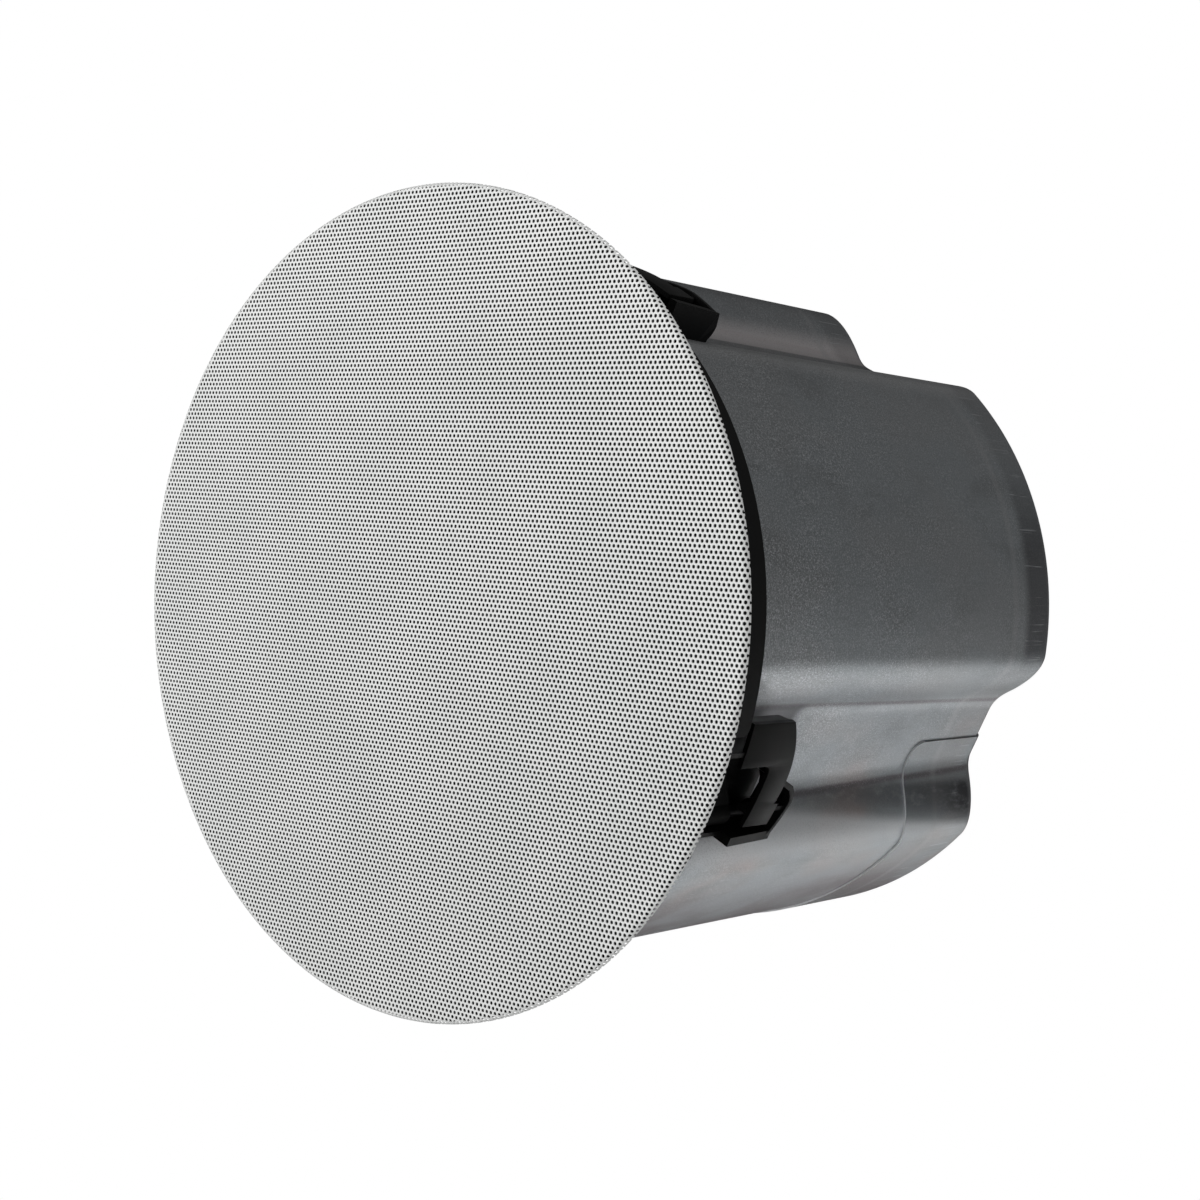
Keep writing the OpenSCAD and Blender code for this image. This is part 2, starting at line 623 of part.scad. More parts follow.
module ferrite_magnet() color("#2c2c2e") tube(coil_r + 5, ferrite_d / 2, magnet_y, yoke_y);
post_r = 4;
module yoke() color("silver") difference() {
    union() {
        bar(ferrite_d / 2 - 4, yoke_y, yoke_y + yoke_t, sides = 96);
        bar(coil_r - 0.6, plate_y - 2, yoke_y + 1, sides = 96);
    }
    bar(post_r + loose, plate_y - 3, yoke_y + yoke_t + 1);
}
module woofer_screws() color("gainsboro")
    around(8, 22.5) screw(1.6, 3.2, frame_y, 14, [woofer_screw_r, 0]);
terminal_x = -landing - 9;
terminal_t = 2;
module woofer_terminals() color("burlywood") difference() {
    union() {
        translate([terminal_x, plate_y, -9]) cube([14, terminal_t, 18]);
        translate([terminal_x - 2, plate_y, -12]) cube([4, 7, 24]);
    }
    for (z = [-4.5, 4.5]) bar(1.5, plate_y - 1, plate_y + 3, [terminal_x + 7, z], 20);
}

// Tweeter on a post through the woofer's pole
cup_r = dome_d / 2 + 2.5;
cup_front = 20;
cup_rear = 34;
module tweeter_post() color("silver") union() {
    bar(post_r, cup_rear, yoke_y + yoke_t);
    bar(post_r + 3, yoke_y + yoke_t, yoke_y + yoke_t + 3, sides = 32);
}
module tweeter_cup() color("silver") turned([
    [0, cup_rear - 3], [cup_r - 1.6, cup_rear - 3], [cup_r - 1.6, cup_front],
    [cup_r, cup_front], [cup_r, cup_rear], [0, cup_rear]
]);
module tweeter_magnet() color("#4a4a4c") bar(dome_d / 2 - 2, cup_front + 3, cup_rear - 3);
module tweeter_dome() color("#8a8578") {
    rise = 6;
    r = dome_d / 2;
    ball = (r * r + rise * rise) / (2 * rise);
    arc = [for (i = [0:8]) let (a = asin(r / ball) * i / 8) [ball * sin(a), cup_front - 0.4 - rise + ball * (1 - cos(a))]];
    turned(concat(arc, [[cup_r - 0.6, cup_front - 0.4], [cup_r - 0.6, cup_front]],
        [for (p = backward(arc)) p + [0, 0.4]]), 64);
}
module tweeter_waveguide() color("#2a2a2c") {
    throat = dome_d / 2 + 0.5;
    mouth = waveguide_d / 2;
    flare = [for (i = [0:8]) let (t = i / 8) [throat + (mouth - throat) * (1 - sqrt(1 - t * t * 0.98)), cup_front - 0.6 - 17 * t]];
    turned(concat(
        [[cup_r + 1.6, cup_front + 4], [cup_r + slip / 2, cup_front + 4], [cup_r + slip / 2, cup_front - 0.6]], flare,
        [[mouth, cup_front - 16.2]], [for (i = [7:-1:1]) flare[i] + [1.8, 0.9]], [[cup_r + 1.6, cup_front - 3]]
    ), 64);
}

// Transformer, held to the can's rear face by a strap
core_at = -38;
core_y = can_inside - loose - core_h;
leg = core_w / 6;
module transformer_core() color("#4c5258") difference() {
    translate([-core_w / 2, core_y, core_at - core_t / 2]) cube([core_w, core_h, core_t]);
    for (x = [-2 * leg, leg]) translate([x, core_y + leg, core_at - core_t]) cube([leg, core_h - 2 * leg, 2 * core_t]);
}
module transformer_coil() color("#c9a227") difference() {
    translate([-2 * leg + lift, core_y + leg + lift, coil_side])
        cube([4 * leg - 2 * lift, core_h - 2 * leg - 2 * lift, core_t + 2 * leg - 2]);
    translate([-leg - lift, core_y - 1, core_at - core_t / 2 - lift]) cube([2 * leg + 2 * lift, core_h + 2, core_t + 2 * lift]);
}
strap_t = 1;
strap_w = 16;
strap_foot = core_w / 2 + 8;
strap_places = [[-strap_foot, core_at], [strap_foot, core_at]];
module transformer_strap() color("silver") difference() {
    slab_z(strap_w, core_at) {
        translate([-core_w / 2 - strap_t - run, core_y - strap_t - run])
            square([core_w + 2 * strap_t + 2 * run, can_inside - core_y + strap_t + run]);
        translate([-strap_foot - 5, can_inside - strap_t]) square([2 * strap_foot + 10, strap_t]);
    }
    slab_z(strap_w + 2, core_at) translate([-core_w / 2 - run, core_y - run]) square([core_w + 2 * run, can_back]);
    for (at = strap_places) bar(1.6, can_inside - 3, can_back, at, 20);
}
module slab_z(w, z) translate([0, 0, z - w / 2]) linear_extrude(w) children();
module transformer_screws() color("gainsboro")
    for (at = strap_places) screw(1.5, 3, can_inside - strap_t, strap_t + can_t, at);

// Crossover board on four standoffs
board_at = 36;
board_t = 1.6;
board_y = can_inside - 8 - board_t;
standoff_places = [for (x = [-1, 1], z = [-1, 1]) [x * (board_w / 2 - 5), board_at + z * (board_h / 2 - 5)]];
module crossover_board() color("darkgreen") difference() {
    translate([-board_w / 2, board_y, board_at - board_h / 2]) cube([board_w, board_t, board_h]);
    for (at = standoff_places) bar(1.7, board_y - 1, board_y + board_t + 1, at, 20);
}
module board_standoffs() color("ivory") for (at = standoff_places) {
    bar(3, board_y + board_t, can_inside, at, 20);
    bar(1.5, board_y - 2, can_back, at, 20);
}
module choke_coil() color("peru") translate([-28, 0, board_at]) turned([
    [8, board_y - 16], [19, board_y - 16], [20, board_y - 15], [20, board_y - 1], [19, board_y], [8, board_y]
], 48);
module film_capacitors() color("#b5402c") for (z = [-14, 14])
    translate([2, board_y - 15, board_at + z - 8]) cube([27, 15, 16]);
module power_resistor() color("white") translate([34, board_y - 9, board_at - 16]) cube([9, 9, 32]);

// Tap selector on the front panel
neck_r = 4.5;
knob_at = [woofer_d / 2 + 9.5, 0];
shaft_r = 3;
module tap_switch() color("#3a3a3c") translate([knob_at[0], 0, 0]) difference() {
    union() {
        bar(10, back_of_panel, back_of_panel + 13);
        bar(neck_r, panel_y - 2.8, back_of_panel);
    }
    bar(shaft_r + run, panel_y - 4, back_of_panel + 11);
}
module tap_switch_nut() color("gainsboro") translate([knob_at[0], 0, 0]) difference() {
    slab(panel_y - 2.2, panel_y) circle(7, $fn = 6);
    bar(neck_r + run, panel_y - 3, panel_y + 1);
}
knob_y = panel_y - 3.4;
knob_front = knob_y - 5.4;
module tap_knob() color("#e8e4d8") translate([knob_at[0], 0, 0]) difference() {
    union() {
        turned([[0, knob_front], [knob_d / 2 - 1.4, knob_front], [knob_d / 2 - 0.4, knob_front + 1],
                [knob_d / 2, knob_y - 1.6], [knob_d / 2, knob_y], [0, knob_y]], 64);
        bar(shaft_r, knob_y, back_of_panel + 10);
    }
    for (i = [0:17]) rotate([0, i * 20, 0]) bar(0.6, knob_front - 1, knob_y - 1.8, [knob_d / 2, 0], 16);
    translate([-0.8, knob_front - 1, 0]) cube([1.6, 1.6, knob_d / 2 + 1]);
}

module damping_lining() color("white") slab(70, box_y - 10) difference() {
    outline(can_t + draft_at(box_y) + lift);
    outline(can_t + draft_at(box_y) + lift + 9);
}

// Leads inside the can: a round tube swept along hand-laid points
function unit(v) = v / norm(v);
function lead_ring(path, i, r) = let (
    n = len(path) - 1,
    t = unit(path[min(i + 1, n)] - path[max(i - 1, 0)]),
    side = unit(cross(t, [0.95, 0.1, 0.3])),
    up = cross(t, side)
) [for (a = [0:45:315]) path[i] + r * (cos(a) * side - sin(a) * up)];
function curve(p, t) = let (
    n = len(p) - 1, k = min(floor(t), n - 1), f = t - k,
    a = p[max(k - 1, 0)], b = p[k], c = p[k + 1], d = p[min(k + 2, n)]
) b + 0.5 * f * (c - a + f * (2 * a - 5 * b + 4 * c - d + f * (3 * (b - c) + d - a)));
module lead(points, r) {
    n = (len(points) - 1) * 4;
    path = [for (i = [0:n]) curve(points, i / 4)];
    skin([for (i = [0:n]) lead_ring(path, i, r)]);
}
coil_side = core_at - core_t / 2 - leg + 1;
lead_y = core_y + leg + lift + 6;
module input_lead() color("black") lead([
    [0, box_y, -104], [0, box_y - 9, -103], [0, box_y - 15, -96], [0, box_y - 14, -84],
    [0, lead_y - 5, -73], [0, lead_y, coil_side - 6], [0, lead_y, coil_side]
], 2);
module woofer_lead() color("firebrick") lead([
    [-48, board_y, board_at - 20], [-48, board_y - 10, board_at - 20], [-60, board_y - 36, 10],
    [-70, 150, 4], [-72, 110, 0], [-66, 80, 0], [terminal_x + 6, plate_y + 9, 0], [terminal_x + 6, plate_y + terminal_t, 0]
], 1.8);

grille();
grille_cloth();
grille_magnets();
baffle();
can_gasket();
back_can();
wiring_cover();
cover_screws();
wiring_box();
terminal_socket();
terminal_plug();
tether_tab();
tether_rivets();
can_screws();
around(1, 45) clamp_bracket();  // clamp_bracket_1
around(1, 135) clamp_bracket();  // clamp_bracket_2
around(1, 225) clamp_bracket();  // clamp_bracket_3
around(1, 315) clamp_bracket();  // clamp_bracket_4
bracket_screws();
around(1, 45) clamp_screw();  // clamp_screw_1
around(1, 135) clamp_screw();  // clamp_screw_2
around(1, 225) clamp_screw();  // clamp_screw_3
around(1, 315) clamp_screw();  // clamp_screw_4
around(1, 45) clamp_ear();  // clamp_ear_1
around(1, 135) clamp_ear();  // clamp_ear_2
around(1, 225) clamp_ear();  // clamp_ear_3
around(1, 315) clamp_ear();  // clamp_ear_4
woofer_frame();
woofer_cone();
woofer_surround();
woofer_spider();
voice_coil();
top_plate();
ferrite_magnet();
yoke();
woofer_screws();
woofer_terminals();
tweeter_post();
tweeter_cup();
tweeter_magnet();
tweeter_dome();
tweeter_waveguide();
transformer_core();
transformer_coil();
transformer_strap();
transformer_screws();
crossover_board();
board_standoffs();
choke_coil();
film_capacitors();
power_resistor();
tap_switch();
tap_switch_nut();
tap_knob();
damping_lining();
input_lead();
woofer_lead();
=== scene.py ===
"""Looks for a round ceiling loudspeaker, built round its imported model.

Metres. +Y runs from the room into the ceiling void, +Z is up, and the origin is the centre of the
flange's mounting face, as in the model's source.
"""

import math

import bmesh
import bpy
from mathutils import Matrix, Vector
from mathutils.geometry import tessellate_polygon


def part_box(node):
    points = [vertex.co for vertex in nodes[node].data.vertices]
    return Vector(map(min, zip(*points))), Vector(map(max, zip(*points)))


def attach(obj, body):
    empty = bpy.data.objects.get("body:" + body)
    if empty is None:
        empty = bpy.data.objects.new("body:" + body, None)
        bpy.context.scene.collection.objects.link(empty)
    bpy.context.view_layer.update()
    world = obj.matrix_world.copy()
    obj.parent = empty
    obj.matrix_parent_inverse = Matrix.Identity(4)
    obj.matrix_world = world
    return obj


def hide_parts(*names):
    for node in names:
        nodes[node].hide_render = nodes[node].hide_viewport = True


MM = 0.001
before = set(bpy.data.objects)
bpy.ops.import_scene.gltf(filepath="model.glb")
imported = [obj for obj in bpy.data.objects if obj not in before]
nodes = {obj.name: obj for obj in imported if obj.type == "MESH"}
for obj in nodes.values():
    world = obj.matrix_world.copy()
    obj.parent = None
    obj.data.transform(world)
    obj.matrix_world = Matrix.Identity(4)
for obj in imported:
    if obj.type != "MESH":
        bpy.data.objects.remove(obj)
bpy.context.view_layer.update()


# ---- shader helpers ----

class Value:
    """A number in a node tree. Sums on it add Math nodes."""

    def __init__(self, tree, socket):
        self.tree = tree
        self.socket = socket

    def maths(self, operation, *terms):
        node = self.tree.nodes.new("ShaderNodeMath")
        node.operation = operation
        for slot, term in zip(node.inputs, terms):
            if isinstance(term, Value):
                self.tree.links.new(term.socket, slot)
            else:
                slot.default_value = term
        return Value(self.tree, node.outputs[0])

    def __add__(self, other):
        return self.maths("ADD", self, other)

    def __radd__(self, other):
        return self.maths("ADD", other, self)

    def __sub__(self, other):
        return self.maths("SUBTRACT", self, other)

    def __rsub__(self, other):
        return self.maths("SUBTRACT", other, self)

    def __mul__(self, other):
        return self.maths("MULTIPLY", self, other)

    def __rmul__(self, other):
        return self.maths("MULTIPLY", other, self)

    def __truediv__(self, other):
        return self.maths("DIVIDE", self, other)

    def sine(self):
        return self.maths("SINE", self)

    def size(self):
        return self.maths("ABSOLUTE", self)

    def at_least(self, low):
        return self.maths("MAXIMUM", self, low)

    def at_most(self, high):
        return self.maths("MINIMUM", self, high)

    def rise(self, start, end):
        """0 before start and 1 after end, smooth between."""
        t = ((self - start) / (end - start)).at_least(0).at_most(1)
        return t * t * (3 - 2 * t)

    def fall(self, start, end):
        """1 before start and 0 after end, smooth between."""
        return 1 - self.rise(start, end)

    def band(self, start, full, full_end, end):
        """1 from full to full_end, and 0 before start and after end."""
        return self.rise(start, full) * self.fall(full_end, end)


class Nodes:
    """Adds nodes to one tree and keeps the row's own coordinates, in millimetres."""

    def __init__(self, tree):
        self.tree = tree
        tree.nodes.clear()

    def add(self, kind, settings=None, inputs=None):
        node = self.tree.nodes.new("ShaderNode" + kind)
        for name, setting in (settings or {}).items():
            setattr(node, name, setting)
        for name, source in (inputs or {}).items():
            self.feed(node.inputs[name], source)
        return node

    def feed(self, slot, source):
        if isinstance(source, Value):
            source = source.socket
        if isinstance(source, bpy.types.NodeSocket):
            self.tree.links.new(source, slot)
        elif isinstance(source, (tuple, list)) and len(source) == 3 and slot.type == "RGBA":
            slot.default_value = (*source, 1)
        else:
            slot.default_value = source

    def value(self, socket):
        return Value(self.tree, socket)

    def place(self, stretch=(1, 1, 1)):
        """The point on the part in millimetres, with each axis multiplied by stretch."""
        where = self.add("TexCoord").outputs["Object"]
        scale = tuple(s / MM for s in stretch)
        return self.add("VectorMath", {"operation": "MULTIPLY"}, {0: where, 1: scale}).outputs[0]

    def noise(self, size, detail=3, rough=0.5, where=None, shift=0):
        """Cloudy variation from 0 to 1 with blotches of about size millimetres."""
        where = where or self.place()
        moved = self.add("VectorMath", {"operation": "ADD"}, {0: where, 1: (shift, shift, shift)})
        node = self.add("TexNoise", inputs={
            "Vector": moved.outputs[0], "Scale": 1 / size, "Detail": detail, "Roughness": rough})
        return self.value(node.outputs["Fac"])

    def mix(self, factor, first, second):
        node = self.add("Mix", {"data_type": "RGBA"})
        self.feed(node.inputs[0], factor)
        self.feed(node.inputs[6], first)
        self.feed(node.inputs[7], second)
        return node.outputs[2]


class Finish(Nodes):
    """A material with one Principled shader. Constants go straight into its sockets."""

    def __init__(self, name, **constants):
        self.material = bpy.data.materials.new(name)
        self.material.use_nodes = True
        super().__init__(self.material.node_tree)
        self.shader = self.add("BsdfPrincipled")
        output = self.add("OutputMaterial")
        self.tree.links.new(self.shader.outputs[0], output.inputs["Surface"])
        for slot, constant in constants.items():
            self.feed(self.shader.inputs[slot.replace("_", " ")], constant)

    def colour(self, source):
        self.feed(self.shader.inputs["Base Color"], source)
        return self

    def roughness(self, source):
        self.feed(self.shader.inputs["Roughness"], source)
        return self

    def bump(self, height, depth_mm):
        """Lifts the surface by depth_mm where height is 1."""
        node = self.add("Bump", inputs={
            "Strength": 1, "Distance": depth_mm * MM, "Height": height})
        self.feed(self.shader.inputs["Normal"], node.outputs[0])
        return self


# ---- finishes ----

def powder_coat():
    """White powder coat: fine orange peel and a faint warm unevenness."""
    f = Finish("white_powder_coat")
    peel = f.noise(0.35, 2)
    cloud = f.noise(40, 2)
    f.colour(f.mix(cloud.rise(0.35, 0.65), (0.80, 0.81, 0.80), (0.84, 0.845, 0.835)))
    f.roughness(0.42 + 0.1 * peel)
    return f.bump(peel, 0.02).material


def moulded_black(name, tone=0.003, rough=0.36):
    """Satin black moulding with a light spark-eroded grain."""
    f = Finish(name, Specular_IOR_Level=0.16)
    grain = f.noise(0.3, 2)
    cloud = f.noise(14, 3)
    f.colour(f.mix(cloud, (tone, tone, tone), (tone * 1.5, tone * 1.5, tone * 1.55)))
    f.roughness(rough + 0.16 * cloud + 0.06 * grain)
    return f.bump(grain, 0.015).material


def zinc_sheet(name, tone=0.43):
    """Drawn zinc-plated steel, with its colours as shares of tone, and painted highlights and
    shade on its lobes, channels and rear edge and behind the clamps.

    The bands follow the depth in millimetres and the angle round the can in degrees, which is 0 at
    either side, 90 at the top and -90 at the bottom. The clamp channels are centred on 45 and -45.
    """
    f = Finish(name, Metallic=1.0)
    axes = f.add("SeparateXYZ", inputs={"Vector": f.place()})
    x, depth, z = (f.value(axes.outputs[i]) for i in range(3))
    angle = z.maths("ARCTAN2", z, x.size()) * (180 / math.pi)
    down = -1 * angle
    from_channel = angle.size() - 45

    # Flecks, draw marks, clouds and stains
    grain = f.noise(0.45, 2, 0.5)
    speck = f.noise(0.7, 1, 0.5, shift=53)
    fleck = grain * 0.6 + speck * 0.4
    drawn = f.noise(1.2, 3, 0.6, f.place((1, 0.035, 1)))
    worn = f.noise(30, 3, 0.6, shift=17)
    ramp_mottle = f.noise(5, 5, 0.7, f.place((1, 0.45, 1)), shift=31)
    film = f.noise(30, 2, 0.5, f.place((1, 0.6, 1)), shift=40)
    stain = f.noise(24, 4, 0.65, f.place((1, 0.5, 1)), shift=9)
    scratch = f.noise(0.9, 2, 0.6, f.place((1, 0.02, 1)), shift=77)

    # Zones of the can, and the masks of painted highlight and shade
    wall = depth.fall(232, 237)
    front = depth.fall(40, 190)
    rear_end = depth.rise(205, 232)
    below = (-1 * z).rise(60, 110)
    fleck_share = (0.45 + 0.4 * front) * (0.65 + 0.4 * worn.rise(0.38, 0.62)) * (1 - 0.6 * below)
    # Painted shade: a thin dark line along both inner corners of each channel
    painted_corner_shade = (10.8 - 0.0115 * depth - from_channel.size()).size().fall(0.1, 0.9)
    # Painted shade over the top lobe, with a painted highlight towards its top
    painted_top_lobe_shading = angle.rise(54, 58) * wall
    # Painted highlight where the bottom channels turn down into the bottom lobe
    painted_lower_highlight = (down - depth * 0.036).rise(52, 54) * down.fall(60, 64)
    lower_ramp = (down - depth * 0.01).rise(51.9, 53.5) * (down - depth * 0.035).fall(50.1, 53.7)
    underside = down.rise(66, 77) * (0.3 + 0.7 * film.rise(0.35, 0.6))
    # Painted shade towards the rear edge, standing in for a wider rounding there
    painted_rear_shade = depth.rise(212, 220) * (0.35 + 0.65 * down.rise(-12, 8)) * down.fall(24, 30)
    # Painted shadow on the channel wall behind each clamp
    painted_clamp_shadow = from_channel.size().fall(9, 11) * depth.fall(84, 92)

    cool, neutral, warm = (0.93, 1.0, 1.05), (0.99, 0.99, 1.0), (1.1, 0.97, 0.95)
    dull, dark = (0.58, 0.6, 0.62), (0.2, 0.2, 0.22)
    layers = (
        (film.rise(0.4, 0.6) * (0.35 + 0.65 * below), neutral),
        (film.rise(0.56, 0.7) * below, warm),
        (stain.rise(0.5, 0.7) * 0.45, dull),
        (drawn.rise(0.48, 0.8) * (0.2 + 0.3 * rear_end), dull),
        # Painted shade in the channels' inner corners, dull purple
        (painted_corner_shade * wall * 0.75, (0.36, 0.3, 0.33)),
        # Painted shade on the top channels' floors, towards their upper sides
        (angle.band(45.5, 47.5, 50.5, 51.5) * wall * 0.9, dull),
        # Painted shade over the top lobe, then a painted highlight nearer its top
        (painted_top_lobe_shading * 0.45, dull),
        (painted_top_lobe_shading * angle.rise(62, 72) * 0.4, (1.4, 1.55, 1.6)),
        # Painted highlight where the top channels turn up into the top lobe
        (angle.band(50.5, 51.5, 54, 58) * wall * 0.8, (2.2, 2.05, 2.05)),
        # Painted highlight band on the upper part of the side lobes
        (angle.band(22, 26, 29, 32) * wall * 0.45, (1.7, 1.7, 1.7)),
        # Painted highlight on the bottom channels' lower sides, narrowing towards the rear
        (painted_lower_highlight * wall * 0.7, (2.2, 2.25, 2.3)),
        (underside * wall * 0.8, (0.42, 0.34, 0.38)),
        (fleck.rise(0.5, 0.62) * fleck_share, (1.8, 1.85, 1.9)),
        (fleck.fall(0.38, 0.5) * fleck_share * 0.7, dull),
        (depth.band(203, 206, 207, 210) * 0.3, (1.3, 1.32, 1.34)),
        # Painted shade before the rear edge, mostly on the side lobes' lower halves
        (painted_rear_shade * wall * 0.7, dark),
        (scratch.rise(0.64, 0.7) * depth.band(214, 217, 228, 232) * 0.85, (1.5, 1.55, 1.6)),
        # Painted shadow behind the clamps, nearly black
        (painted_clamp_shadow * 0.92, dark),
        # A darker mottled band on the bottom channels' ramps, wider and darker towards the rear
        (lower_ramp * wall * ramp_mottle.rise(0.15, 0.55) * (0.56 + 0.42 * rear_end), dark))
    base = tuple(tone * share for share in cool)
    for amount, shares in layers:
        base = f.mix(amount, base, tuple(tone * share for share in shares))
    f.colour(base)
    f.roughness(0.2 + 0.1 * stain + 0.06 * drawn + 0.14 * grain)
    return f.bump(grain * 0.8 + drawn * 0.2, 0.07).material


def bright_steel(name, tone=(0.62, 0.62, 0.61), rough=0.3):
    """Plated or machined steel for screws, plates and brackets."""
    f = Finish(name, Metallic=1.0)
    fine = f.noise(0.8, 3)
    cloud = f.noise(9, 3)
    f.colour(f.mix(cloud.rise(0.3, 0.7), tuple(t * 0.88 for t in tone), tone))
    f.roughness(rough + 0.14 * cloud + 0.06 * fine)
    return f.bump(fine, 0.01).material


def moulded(name, colour, rough=0.45):
    """A coloured moulding, board or case with slight unevenness."""
    f = Finish(name)
    fine = f.noise(0.6, 2)
    cloud = f.noise(12, 3)
    f.colour(f.mix(cloud, tuple(c * 0.86 for c in colour), colour))
    f.roughness(rough + 0.12 * cloud)
    return f.bump(fine, 0.015).material


def woven(name, colour, pitch_mm=0.6, rough=0.9):
    """Cloth with its threads crossing at a fine pitch."""
    f = Finish(name, Sheen_Weight=0.15)
    where = f.add("SeparateXYZ", inputs={"Vector": f.place()})
    turn = 2 * math.pi / pitch_mm
    across = (f.value(where.outputs[0]) * turn).sine()
    along = (f.value(where.outputs[2]) * turn).sine()
    weave = (across * along) * 0.5 + 0.5
    f.colour(f.mix(weave, tuple(c * 0.45 for c in colour), colour))
    f.roughness(rough - 0.1 * weave)
    return f.bump(weave, 0.12).material


def fibres(name, colour, size_mm, depth_mm):
    """Pressed paper, felt, foam or wadding: soft clumps of fibre."""
    f = Finish(name, Sheen_Weight=0.1)
    clump = f.noise(size_mm, 5, 0.65)
    cloud = f.noise(size_mm * 12, 2)
    f.colour(f.mix(clump * 0.6 + cloud * 0.4, tuple(c * 0.6 for c in colour), colour))
    f.roughness(0.85 - 0.12 * clump)
    return f.bump(clump, depth_mm).material


def wound(name, colour, wire_mm, axis):
    """Wire or tape laid in turns along an axis, 0 for X, 1 for Y and 2 for Z."""
    f = Finish(name, Metallic=0.6)
    where = f.add("SeparateXYZ", inputs={"Vector": f.place()})
    turns = (f.value(where.outputs[axis]) * (2 * math.pi / wire_mm)).sine() * 0.5 + 0.5
    cloud = f.noise(8, 2)
    f.colour(f.mix(turns * 0.7 + cloud * 0.3, tuple(c * 0.4 for c in colour), colour))
    f.roughness(0.38 - 0.1 * turns)
    return f.bump(turns, wire_mm * 0.3).material


def laminated(name):
    """Varnished steel sheets stacked along Z."""
    f = Finish(name, Metallic=0.55)
    where = f.add("SeparateXYZ", inputs={"Vector": f.place()})
    sheets = (f.value(where.outputs[2]) * (2 * math.pi / 0.5)).sine() * 0.5 + 0.5
    cloud = f.noise(10, 3)
    f.colour(f.mix(sheets * 0.6 + cloud * 0.4, (0.05, 0.052, 0.055), (0.16, 0.165, 0.17)))
    f.roughness(0.4 + 0.15 * cloud)
    return f.bump(sheets, 0.12).material


coat = powder_coat()
black = moulded_black("black_moulding")
clamp_black = moulded_black("clamp_black", 0.002, 0.3)
ear_black = moulded_black("ear_black", 0.0015, 0.6)
zinc = zinc_sheet("zinc_sheet")
screw_steel = bright_steel("screw_zinc")
plate_steel = bright_steel("plate_steel", (0.5, 0.5, 0.49), 0.36)
cut_edge = bright_steel("cut_edge", (0.97, 0.98, 0.99), 0.5)
blackened_steel = bright_steel("blackened_steel", (0.035, 0.035, 0.037), 0.4)

finishes = {
    "baffle": black, "tap_switch": black, "tweeter_waveguide": black,
    "grille_cloth": woven("acoustic_cloth", (0.012, 0.012, 0.013)),
    "grille_magnets": bright_steel("magnet_nickel", (0.66, 0.63, 0.58), 0.18),
    "tweeter_magnet": bright_steel("magnet_plate", (0.5, 0.48, 0.45), 0.25),
    "can_gasket": fibres("gasket_foam", (0.03, 0.03, 0.03), 0.5, 0.15),
    "back_can": zinc, "wiring_cover": zinc_sheet("cover_zinc", 0.375), "wiring_box": zinc,
    "tether_tab": plate_steel, "transformer_strap": plate_steel,
    "terminal_socket": moulded("terminal_green", (0.02, 0.22, 0.07)),
    "terminal_plug": moulded("plug_green", (0.03, 0.3, 0.1)),
    "woofer_frame": moulded("frame_paint", (0.16, 0.165, 0.17), 0.4),
    "tweeter_post": plate_steel, "tweeter_cup": plate_steel, "top_plate": plate_steel,
    "yoke": plate_steel,
    "woofer_cone": fibres("cone_paper", (0.04, 0.04, 0.043), 0.5, 0.1),
    "woofer_surround": moulded("surround_rubber", (0.018, 0.018, 0.018), 0.6),
    "woofer_spider": woven("spider_cotton", (0.7, 0.5, 0.18), 0.9),
    "voice_coil": wound("coil_wire", (0.75, 0.35, 0.16), 0.3, 1),
    "choke_coil": wound("choke_wire", (0.75, 0.35, 0.16), 0.8, 1),
    "ferrite_magnet": moulded("ferrite", (0.045, 0.045, 0.05), 0.5),
    "woofer_terminals": moulded("terminal_board", (0.5, 0.34, 0.17), 0.55),
    "tweeter_dome": woven("dome_silk", (0.3, 0.28, 0.25), 0.4, 0.7),
    "transformer_core": laminated("core_sheets"),
    "transformer_coil": wound("coil_tape", (0.75, 0.58, 0.1), 12, 1),
    "crossover_board": moulded("board_green", (0.02, 0.17, 0.06), 0.35),
    "board_standoffs": moulded("standoff_nylon", (0.8, 0.79, 0.73), 0.5),
    "film_capacitors": moulded("capacitor_red", (0.55, 0.08, 0.05), 0.3),
    "power_resistor": moulded("resistor_ceramic", (0.8, 0.79, 0.75), 0.6),
    "tap_knob": moulded("knob_ivory", (0.8, 0.77, 0.67), 0.3),
    "damping_lining": fibres("lining_wadding", (0.8, 0.8, 0.79), 3, 1.2),
    "input_lead": moulded("lead_black", (0.015, 0.015, 0.015), 0.5),
    "woofer_lead": moulded("lead_red", (0.5, 0.03, 0.02), 0.5),
}
for k in "1234":
    finishes["clamp_bracket_" + k] = clamp_black
    finishes["clamp_ear_" + k] = ear_black
    finishes["clamp_screw_" + k] = blackened_steel
for name, node in nodes.items():
    node.data.materials.clear()
    node.data.materials.append(finishes.get(name, screw_steel))


# ---- edges and shading of the carried-over pieces ----

def join_corners(made):
    """Joins the points that the frame's mesh holds twice."""
    made.modifiers.new("weld", "WELD").merge_threshold = 0.002 * MM


def soften(name, width_mm=0.3, angle=35):
    """Rounds the sharp edges of a moulding slightly."""
    join_corners(nodes[name])
    bevel = nodes[name].modifiers.new("edges", "BEVEL")
    bevel.width = width_mm * MM
    bevel.segments = 2
    bevel.limit_method = "ANGLE"
    bevel.angle_limit = math.radians(angle)


def smooth(made, angle=32, weld=True):
    """Shades the curved faces smooth, keeps the sharp edges and keeps flat faces flat."""
    made.data.polygons.foreach_set("use_smooth", [True] * len(made.data.polygons))
    if weld:
        join_corners(made)
    split = made.modifiers.new("sharp", "EDGE_SPLIT")
    split.split_angle = math.radians(angle)
    made.modifiers.new("even", "WEIGHTED_NORMAL").weight = 80


